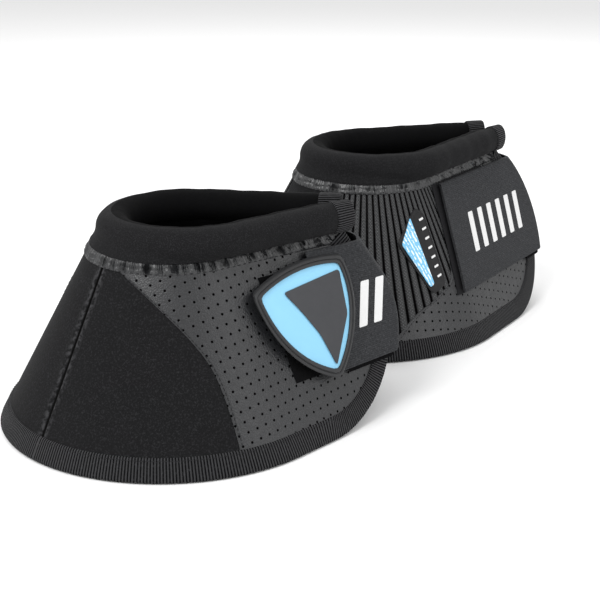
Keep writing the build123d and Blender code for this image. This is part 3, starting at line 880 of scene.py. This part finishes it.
def collar_ring(boot, side, s, grow, lumps=0.0):
    """One closed section of the collar: it starts on the skin's top edge and ends on the lining's.

    Towards the heel end the binding has sewn the roll down to a thinner edge."""
    circles = collar_circles(boot)
    centre = np.array(outline(boot, side, circles, s, 0.0))
    outwards = np.array(outline(boot, side, circles, s, 1.0)) - centre
    rim_out = wall(boot, side, s, WALL_HEIGHT - 0.8, 0.9)
    rim_in = wall(boot, side, s, WALL_HEIGHT - 0.8, -WALL - 0.1)
    near = [float(np.dot(np.array([r[0], side * r[1]]) - centre, outwards)) for r in (rim_out, rim_in)]
    pinch = min(max((s - ROLL_PINCH_FROM) / (2.0 - ROLL_PINCH_FROM), 0), 1)
    pinch = pinch * pinch * (3 - 2 * pinch)
    half_width = (COLLAR_HALF_WIDTH + lumps) * (1 - 0.5 * pinch) + grow
    half_height = COLLAR_HALF_HEIGHT + lumps * 0.6 + grow - 0.8 * pinch
    shift = 2.6 * pinch
    points = [(near[0] + grow, WALL_HEIGHT - 0.8)]
    for a in np.radians(np.linspace(-54, 234, 34)):
        n = shift + half_width * cos(a)
        z = COLLAR_CENTRE_Z + half_height * sin(a)
        rise = min(max((z - WALL_HEIGHT) / (COLLAR_CENTRE_Z - WALL_HEIGHT), 0), 1)
        if a < 0:
            n = max(n, near[0] + (shift + half_width - near[0]) * rise - 0.8 * sin(pi * rise))
        points.append((n, z))
    points.append((near[1], WALL_HEIGHT - 0.8))
    points.append(((near[0] + near[1]) / 2, WALL_HEIGHT - 0.2))
    ring = []
    for n, z in points:
        x, y = centre + outwards * n
        ring.append((x, side * y, z))
    return ring


def make_collar(boot, side):
    """The padded roll, with the slight unevenness of foam pulled round a bend."""
    word = side_word(boot, side)
    rings = []
    for s in np.concatenate([np.linspace(0, 1, 70)[:-1], np.linspace(1, 2, 46)]):
        lumps = 0.22 * sin(s * 19 + boot.outer) + 0.14 * sin(s * 41 + 2.0 + side)
        lumps *= sin(pi * min(s, 1.0) / 2) if s < 1 else 1.0
        rings.append(collar_ring(boot, side, s, -0.15, lumps))
    uv = grid_uv(lengths_along([ring[12] for ring in rings]), np.arange(len(rings[0])) * ROLL_STEP)
    obj = tube(word + "_collar_roll", boot, rings, uv, JERSEY, 70)
    line_inside(obj, 17.4 * ROLL_STEP * MM)
    hang_side(obj, boot, side, [word + "_collar"])


def line_inside(obj, from_v):
    """The roll's inner half is covered with the lining's black knit."""
    obj.data.materials.append(LINING_KNIT)
    layer = obj.data.uv_layers[0].data
    for face in obj.data.polygons:
        v = sum(layer[i].uv.y for i in face.loop_indices) / face.loop_total
        if v > from_v:
            face.material_index = 1


def make_collar_tab(boot, side):
    """The binding's end, folded over the heel end of the collar."""
    word = side_word(boot, side)
    circles = collar_circles(boot)
    a = np.array(outline(boot, side, circles, 1.0, 0.0))
    b = np.array(outline(boot, side, circles, 2.0, 0.0))
    run = float(np.linalg.norm(b - a))
    step = np.array([(b - a)[0], side * (b - a)[1], 0.0]) / run
    rings, along = [], []
    for back, grow in ((12.0, 0.0), (11.8, 0.5), (11.0, 0.75), (6.0, 0.8), (1.2, 0.75), (0.4, 0.6)):
        rings.append(np.array(collar_ring(boot, side, 2.0 - back / run, grow)))
        along.append(TAB_LENGTH - back)
    ring = np.array(collar_ring(boot, side, 2.0, 0.6))
    middle = ring.mean(axis=0)
    for share, out in ((0.94, 0.35), (0.7, 0.6), (0.3, 0.6)):
        rings.append(middle + (ring - middle) * share + step * out)
        along.append(TAB_LENGTH + 8 * (1 - share))
    uv = grid_uv(along, np.arange(len(ring)) * ROLL_STEP)[..., ::-1]
    obj = tube(word + "_collar_end_tab", boot, rings, uv, WEBBING, 60)
    hang(obj, boot, "flap" if side == boot.outer else "boot", [word + "_collar_tab"])


# ---- strap ----

def strap_side(boot, side, x, z, off):
    """A point on the strap's flat run along one side."""
    toe_x, toe_r, heel_x, heel_r = wall_circles(boot, z, STRAP_FROM_WALL + off)
    lean = asin((toe_r - heel_r) / (heel_x - toe_x))
    if x > toe_x + toe_r * sin(lean):
        y = (toe_r - (x - toe_x) * sin(lean)) / cos(lean)
    else:
        y = sqrt(max(toe_r ** 2 - (x - toe_x) ** 2, 0))
    return (x, side * y, z)


def strap_corner(boot, z):
    """Where the strap leaves a side for the heel: centre of its corner and the angle it turns."""
    toe_x, toe_r, heel_x, heel_r = wall_circles(boot, z, STRAP_FROM_WALL)
    lean = asin((toe_r - heel_r) / (heel_x - toe_x))
    x = float(flap_end_x(boot, z)) + BINDING - STRAP_CORNER_R + STRAP_FROM_WALL
    y = (toe_r - (x - toe_x) * sin(lean)) / cos(lean) - STRAP_CORNER_R / cos(lean)
    return x, y, pi / 2 - lean


def strap_line(boot, z, off, start, end, counts):
    """One level of the strap: along one side, round both corners and along the other side.

    start and end are (side, x)."""
    corner_x, corner_y, touch = strap_corner(boot, z)
    radius = STRAP_CORNER_R + off
    edge_x = corner_x + radius * cos(touch)

    def round_corner(side, angles):
        return [(corner_x + radius * cos(a), side * (corner_y + radius * sin(a)), z) for a in angles]

    def along_side(side, xs):
        return [strap_side(boot, side, x, z, off) for x in xs]

    points = along_side(start[0], np.linspace(start[1], edge_x, counts[0])[:-1])
    points += round_corner(start[0], np.linspace(touch, 0, counts[1])[:-1])
    for y in np.linspace(start[0] * corner_y, end[0] * corner_y, counts[2]):
        points.append((corner_x + radius + STRAP_HEEL_BOW * (1 - (y / corner_y) ** 2), y, z))
    points += round_corner(end[0], np.linspace(0, touch, counts[1])[1:])
    return points + along_side(end[0], np.linspace(edge_x, end[1], counts[3])[1:])


def line_x(low_x, high_x, z):
    """X on a slanted line across the strap."""
    return low_x + (high_x - low_x) * (z - STRAP_BOTTOM_Z) / (STRAP_TOP_Z - STRAP_BOTTOM_Z)


def peel_x(boot, z):
    return float(flap_end_x(boot, z)) - STRAP_PEEL_BEFORE_HEEL


def tip_x(boot, z):
    low = float(flap_end_x(boot, STRAP_BOTTOM_Z))
    high = float(flap_end_x(boot, STRAP_TOP_Z))
    return line_x(low, high, z) - STRAP_TIP_AFTER_HEEL


def strap_levels(low, high, count):
    """Heights with closer ones at both edges, and how far the strap's face drops there."""
    inner = np.linspace(low + 0.8, high - 0.8, count)
    z = np.r_[low, low + 0.25, inner, high - 0.25, high]
    drop = np.r_[0.7, 0.25, np.zeros(count), 0.25, 0.7]
    return z, drop


def strap_sheet(name, boot, low, high, outer_off, inner_off, ends, counts, mat):
    """A band of the strap. ends(z) gives (start, end) for strap_line at a height."""
    z, drop = strap_levels(low, high, 14)
    outer, inner = [], []
    for level, down in zip(z, drop):
        start, end = ends(level)
        outer.append(strap_line(boot, level, outer_off - down, start, end, counts))
        inner.append(strap_line(boot, level, inner_off + down * 0.3, start, end, counts))
    outer, inner = np.array(outer), np.array(inner)
    uv = grid_uv(z, lengths_along(outer[len(z) // 2]))[..., ::-1]
    return slab(name, boot, outer, inner, uv, mat, 50)


def bend_at_peel(obj):
    """Bakes obj's place into its mesh; it does not bend and moves with no body."""
    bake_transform(obj)


def make_strap(boot):
    inner, outer = -boot.outer, boot.outer

    def whole(z):
        x = line_x(STRAP_BASE_X - STRAP_BASE_LEAN, STRAP_BASE_X + STRAP_BASE_LEAN, z)
        return (inner, x), (outer, tip_x(boot, z))

    band = strap_sheet("elastic_band", boot, STRAP_BOTTOM_Z, STRAP_TOP_Z, STRAP, 0.0, whole,
                       (70, 8, 14, 16), ELASTIC)
    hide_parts(boot.name + "_strap_base", boot.name + "_strap_heel_span")
    bend_at_peel(band)

    def under(z):
        return (inner, peel_x(boot, z) + 0.5), (outer, tip_x(boot, z) + 0.5)

    backing = strap_sheet("heel_backing", boot, STRAP_BOTTOM_Z - BACKING_BELOW,
                          STRAP_TOP_Z - BACKING_TOP_GAP, -0.05, -0.8, under, (12, 8, 14, 16), HOOK_CLOTH)
    hang(backing, boot, "strap", ["strap_heel_backing"])

    z, drop = strap_levels(STRAP_BOTTOM_Z, STRAP_TOP_Z, 48)
    end = np.array(STRAP_END)
    sides = []
    for off, share in ((STRAP, -1.0), (0.0, 0.3)):
        rows = []
        for level, down in zip(z, drop):
            rear = tip_x(boot, level)
            front = min(float(np.interp(level, end[:, 1], end[:, 0])), rear - 0.3)
            xs = np.linspace(rear, front, 40)
            rows.append([strap_side(boot, outer, x, level, off + down * share) for x in xs])
        sides.append(np.array(rows))
    uv = np.stack([sides[0][..., 0], sides[0][..., 2]], axis=-1) * MM
    obj = slab("strap_end", boot, sides[0], sides[1], uv, ELASTIC, 50)
    hang(obj, boot, "strap", ["strap_tip"])


def side_patch(name, boot, side, z, x_from, x_to, surface, outer_off, inner_off, mat, cols=30):
    """A flat patch on one side between two borders, one pair of X for each height."""
    rows = len(z)
    taper = edge_taper(rows, cols, 1.5)
    outer = np.zeros((rows, cols, 3))
    inner = np.zeros((rows, cols, 3))
    for i in range(rows):
        for j, x in enumerate(np.linspace(x_from[i], x_to[i], cols)):
            outer[i, j] = surface(boot, side, x, z[i], outer_off - 0.3 * (1 - taper[i, j]))
            inner[i, j] = surface(boot, side, x, z[i], inner_off)
    uv = np.stack([outer[..., 0], outer[..., 2]], axis=-1) * MM
    return slab(name, boot, outer, inner, uv, mat)


def on_wall(boot, side, x, z, off):
    return wall(boot, side, s_of_x(boot, side, x, z, off), z, off)


def make_patches(boot):
    inner, outer = -boot.outer, boot.outer
    low, high = STRAP_BOTTOM_Z - 1.5, WALL_HEIGHT - WELT_HEIGHT
    z = np.linspace(low, high, 24)
    rear = float(heel_edge_x(boot, WALL_HEIGHT)) - BASE_PATCH_REAR_GAP
    start = STRAP_BASE_X - BASE_PATCH_AHEAD + (z - low) * BASE_PATCH_SLANT / (PATCH_TOP_Z - low)
    obj = side_patch("base_patch", boot, inner, z, start, np.full(len(z), rear), on_wall, PATCH_OUT,
                     PATCH_IN, PATCH_CLOTH, 50)
    hang(obj, boot, "boot", ["strap_base_patch"])
    z = np.linspace(STRAP_BOTTOM_Z + 1, LOOP_TOP_Z, 24)
    share = (z - z[0]) / (PATCH_TOP_Z - z[0])
    front, rear = LOOP_FRONT_X - LOOP_FRONT_SLANT * share, LOOP_REAR_X - LOOP_REAR_SLANT * share
    obj = side_patch("loop_tape", boot, outer, z, front, rear, on_wall, PATCH_OUT, PATCH_IN, HOOK_CLOTH)
    hang(obj, boot, "flap", ["loop_patch"])
    loop = np.array(rounded(HOOK_OUTLINE, 2.0))
    loop[:, 0] = np.minimum(loop[:, 0], [tip_x(boot, z) - 0.3 for z in loop[:, 1]])
    raised("hook_tape", boot, outer, "strap", [(loop, -0.05), (loop, -0.95)], strap_side, HOOK_CLOTH,
           ["hook_patch"])


def make_bars(boot, side, body, places, surface, off):
    """Plain slanted bars woven into the strap."""
    for i, x in enumerate(places):
        low, high, wide = BAR_BOTTOM_Z, BAR_TOP_Z, BAR_WIDTH
        top_x = x - BAR_SLANT
        loop = rounded([(x, low), (x + wide, low), (top_x + wide, high), (top_x, high)], 0.8)
        raised("strap_bar_%d" % (i + 1), boot, side, body, [(loop, off), (loop, off + 0.14)], surface,
               WHITE_PRINT)


# ---- badge and label ----

def circle_through(a, b, c):
    """Centre and radius of the circle through three side-view points."""
    (ax, ay), (bx, by), (cx, cy) = a, b, c
    d = 2 * (ax * (by - cy) + bx * (cy - ay) + cx * (ay - by))
    aa, bb, cc = ax ** 2 + ay ** 2, bx ** 2 + by ** 2, cx ** 2 + cy ** 2
    ux = (aa * (by - cy) + bb * (cy - ay) + cc * (ay - by)) / d
    uy = (aa * (cx - bx) + bb * (ax - cx) + cc * (bx - ax)) / d
    return np.array([ux, uy]), sqrt((ax - ux) ** 2 + (ay - uy) ** 2)


def crossing(first, second, near):
    """The crossing of two circles that is nearest to a point."""
    (p, r), (q, s) = first, second
    d = np.linalg.norm(q - p)
    along = (d ** 2 + r ** 2 - s ** 2) / (2 * d)
    across = sqrt(max(r ** 2 - along ** 2, 0))
    unit = (q - p) / d
    side = np.array([-unit[1], unit[0]])
    options = [p + unit * along + side * across * k for k in (1, -1)]
    return min(options, key=lambda o: np.linalg.norm(o - np.array(near)))


def badge_loop(inset, count=26):
    """The badge's outline, drawn in by inset, with its three corners eased."""
    arcs = []
    for i in range(3):
        centre, radius = circle_through(BADGE_CORNERS[i], BADGE_MIDDLES[i], BADGE_CORNERS[(i + 1) % 3])
        arcs.append((centre, radius - inset))
    turns = [crossing(arcs[i - 1], arcs[i], BADGE_CORNERS[i]) for i in range(3)]
    points = []
    for i in range(3):
        centre, radius = arcs[i]
        a, b = turns[i] - centre, turns[(i + 1) % 3] - centre
        start, end = atan2(a[1], a[0]), atan2(b[1], b[0])
        sweep = (end - start + pi) % (2 * pi) - pi
        for share in np.linspace(0, 1, count)[:-1]:
            angle = start + sweep * share
            points.append(centre + radius * np.array([cos(angle), sin(angle)]))
    points = np.array(points)
    return points * 0.5 + (np.roll(points, 1, axis=0) + np.roll(points, -1, axis=0)) * 0.25


def ring_stack(name, boot, side, loops, surface, mat):
    """Skin through side-view loops, each at its own height off the surface, closed at both ends."""
    rings = [[surface(boot, side, x, z, off) for x, z in loop] for loop, off in loops]
    uv = np.array([(x, z) for loop, off in loops for x, z in loop]) * MM
    return tube(name, boot, rings, uv, mat, 35)


def raised(name, boot, side, body, loops, surface, mat, nodes=()):
    """A ring_stack piece that rides on a body."""
    hang(ring_stack(name, boot, side, loops, surface, mat), boot, body, nodes)


def make_badge(boot):
    outer = boot.outer
    floor = STRAP + BADGE_BASE
    top = STRAP + BADGE_FRAME
    profile = [(0.0, STRAP), (0.0, top - 1.1), (0.35, top - 0.4), (1.0, top - 0.1), (1.5, top - 0.35),
               (1.8, top - 0.75), (2.1, top - 0.35), (2.6, top), (3.2, top - 0.1), (3.6, top - 0.5),
               (BADGE_BORDER, floor + 0.1), (BADGE_BORDER + 1.0, floor - 0.3)]
    loops = [(badge_loop(inset), off) for inset, off in profile]
    raised("shield_frame", boot, outer, "strap", loops, strap_side, BADGE_RUBBER,
           ["badge_frame"])
    loops = [(badge_loop(BADGE_BORDER - 0.1), floor), (badge_loop(BADGE_BORDER - 0.1), floor + 0.65),
             (badge_loop(BADGE_BORDER + 0.3), floor + 0.8), (badge_loop(BADGE_BORDER + 8), floor + 0.8),
             (badge_loop(BADGE_BORDER + 14), floor + 0.8)]
    raised("shield_inlay", boot, outer, "strap", loops, strap_side, BADGE_BLUE,
           ["badge_inlay"])
    mark = rounded(EMBLEM, 2.0)
    middle = mark.mean(axis=0)
    loops = [(mark, floor + 0.8), (mark, floor + 1.45), (middle + (mark - middle) * 0.985, floor + 1.6)]
    raised("shield_mark", boot, outer, "strap", loops, strap_side, BADGE_DARK,
           ["badge_emblem"])


def rounded(points, radius, count=6):
    """A side-view polygon with each corner rounded."""
    result = []
    size = len(points)
    for i in range(size):
        before, here, after = (np.array(points[(i + k) % size], float) for k in (-1, 0, 1))
        a, b = before - here, after - here
        reach = min(radius, 0.45 * np.linalg.norm(a), 0.45 * np.linalg.norm(b))
        a = here + a / np.linalg.norm(a) * reach
        b = here + b / np.linalg.norm(b) * reach
        for t in np.linspace(0, 1, count):
            result.append((1 - t) ** 2 * a + 2 * t * (1 - t) * here + t ** 2 * b)
    return np.array(result)


def shrink(points, amount):
    """A loop drawn in towards its middle by about amount."""
    middle = points.mean(axis=0)
    size = np.linalg.norm(points - middle, axis=1).mean()
    return middle + (points - middle) * (1 - amount / size)


def make_label(boot):
    inner = -boot.outer
    loop = rounded(LABEL_OUTLINE, 4.0)
    loops = [(loop, 0.1), (loop, 1.0), (shrink(loop, 0.4), 1.3), (shrink(loop, 1.2), 1.3),
             (shrink(loop, 1.5), 1.1)]
    raised("side_label", boot, inner, "boot", loops, on_wall, LABEL_RUBBER,
           ["label_patch"])
    loop = rounded(LABEL_STRIPE, 1.2)
    loops = [(loop, 1.0), (loop, 1.45), (shrink(loop, 0.4), 1.55)]
    raised("side_label_stripe", boot, inner, "boot", loops, on_wall, STRIPE_INK,
           ["label_stripe"])
    for i, z in enumerate(np.linspace(43, 75, 7)):
        x = -4.2 - 0.045 * (z - 43)
        loop = rounded([(x - 1.9, z - 1.3), (x + 1.5, z - 0.5), (x + 1.5, z + 0.6), (x - 1.9, z - 0.2)],
                       0.3)
        raised("side_label_tick_%d" % (i + 1), boot, inner, "boot", [(loop, 1.05), (loop, 1.25)],
               on_wall, WHITE_PRINT)


# ---- light, floor and camera ----

LIGHTS_AIM = (0, 0, 0.05)


def area_light(name, place_at, size, power):
    data = bpy.data.lights.new(name, "AREA")
    data.shape = "RECTANGLE"
    data.size, data.size_y = size
    data.energy = power
    obj = bpy.data.objects.new(name, data)
    obj.location = place_at
    obj.rotation_euler = (Vector(LIGHTS_AIM) - Vector(place_at)).to_track_quat("-Z", "Y").to_euler()
    bpy.context.scene.collection.objects.link(obj)


FLOOR_GAP = 0.0006


def make_stage():
    bm = bmesh.new()
    bmesh.ops.create_grid(bm, x_segments=4, y_segments=4, size=30.0)
    mesh = bpy.data.meshes.new("floor")
    bm.to_mesh(mesh)
    bm.free()
    floor = bpy.data.objects.new("floor", mesh)
    floor.location.z = -FLOOR_GAP
    bpy.context.scene.collection.objects.link(floor)
    mat = Shader("floor_paper", (0.9, 0.9, 0.9, 1), 0.95, specular=0.05)
    mat.tint(mat.noise(8, 2), (0.88, 0.88, 0.88, 1), 0.3)
    mesh.materials.append(mat.mat)
    world = bpy.data.worlds.new("studio")
    bpy.context.scene.world = world
    world.use_nodes = True
    world.node_tree.nodes["Background"].inputs["Color"].default_value = (1, 1, 1, 1)
    world.node_tree.nodes["Background"].inputs["Strength"].default_value = 0.85
    area_light("key", (-0.6, -0.6, 1.1), (0.7, 0.7), 9)
    area_light("fill", (0.9, -0.5, 0.7), (0.8, 0.8), 3)
    area_light("back", (0.1, 1.0, 0.9), (1.0, 0.6), 6)


# The camera's lens in millimetres, its place from the left boot in metres and its tilt in radians.
CAMERA_LENS = 82.8
CAMERA_X = 0.0612
CAMERA_Y = -0.6977
CAMERA_Z = 0.2983
CAMERA_DOWN = 0.327


def make_camera():
    data = bpy.data.cameras.new("camera")
    data.lens = CAMERA_LENS
    camera = bpy.data.objects.new("camera", data)
    camera.location = (LEFT.origin.x + CAMERA_X, LEFT.origin.y + CAMERA_Y, CAMERA_Z)
    camera.rotation_euler = (pi / 2 - CAMERA_DOWN, 0, 0)
    bpy.context.scene.collection.objects.link(camera)
    bpy.context.scene.camera = camera


for boot in (LEFT, RIGHT):
    for side in (1, -1):
        make_foam(boot, side)
        make_lining(boot, side)
        make_welt(boot, side)
        make_binding(boot, side)
        make_collar(boot, side)
        make_collar_tab(boot, side)
    make_panels(boot)
    make_strap(boot)
    make_patches(boot)
    make_badge(boot)
    make_label(boot)
make_bars(LEFT, LEFT.outer, "strap", (88.0, 98.0), strap_side, STRAP)
make_bars(RIGHT, -RIGHT.outer, "boot", (36.0, 48.0, 60.0, 72.0, 84.0, 96.0), strap_side, STRAP)

make_stage()
make_camera()
bpy.context.scene.view_settings.view_transform = "Standard"
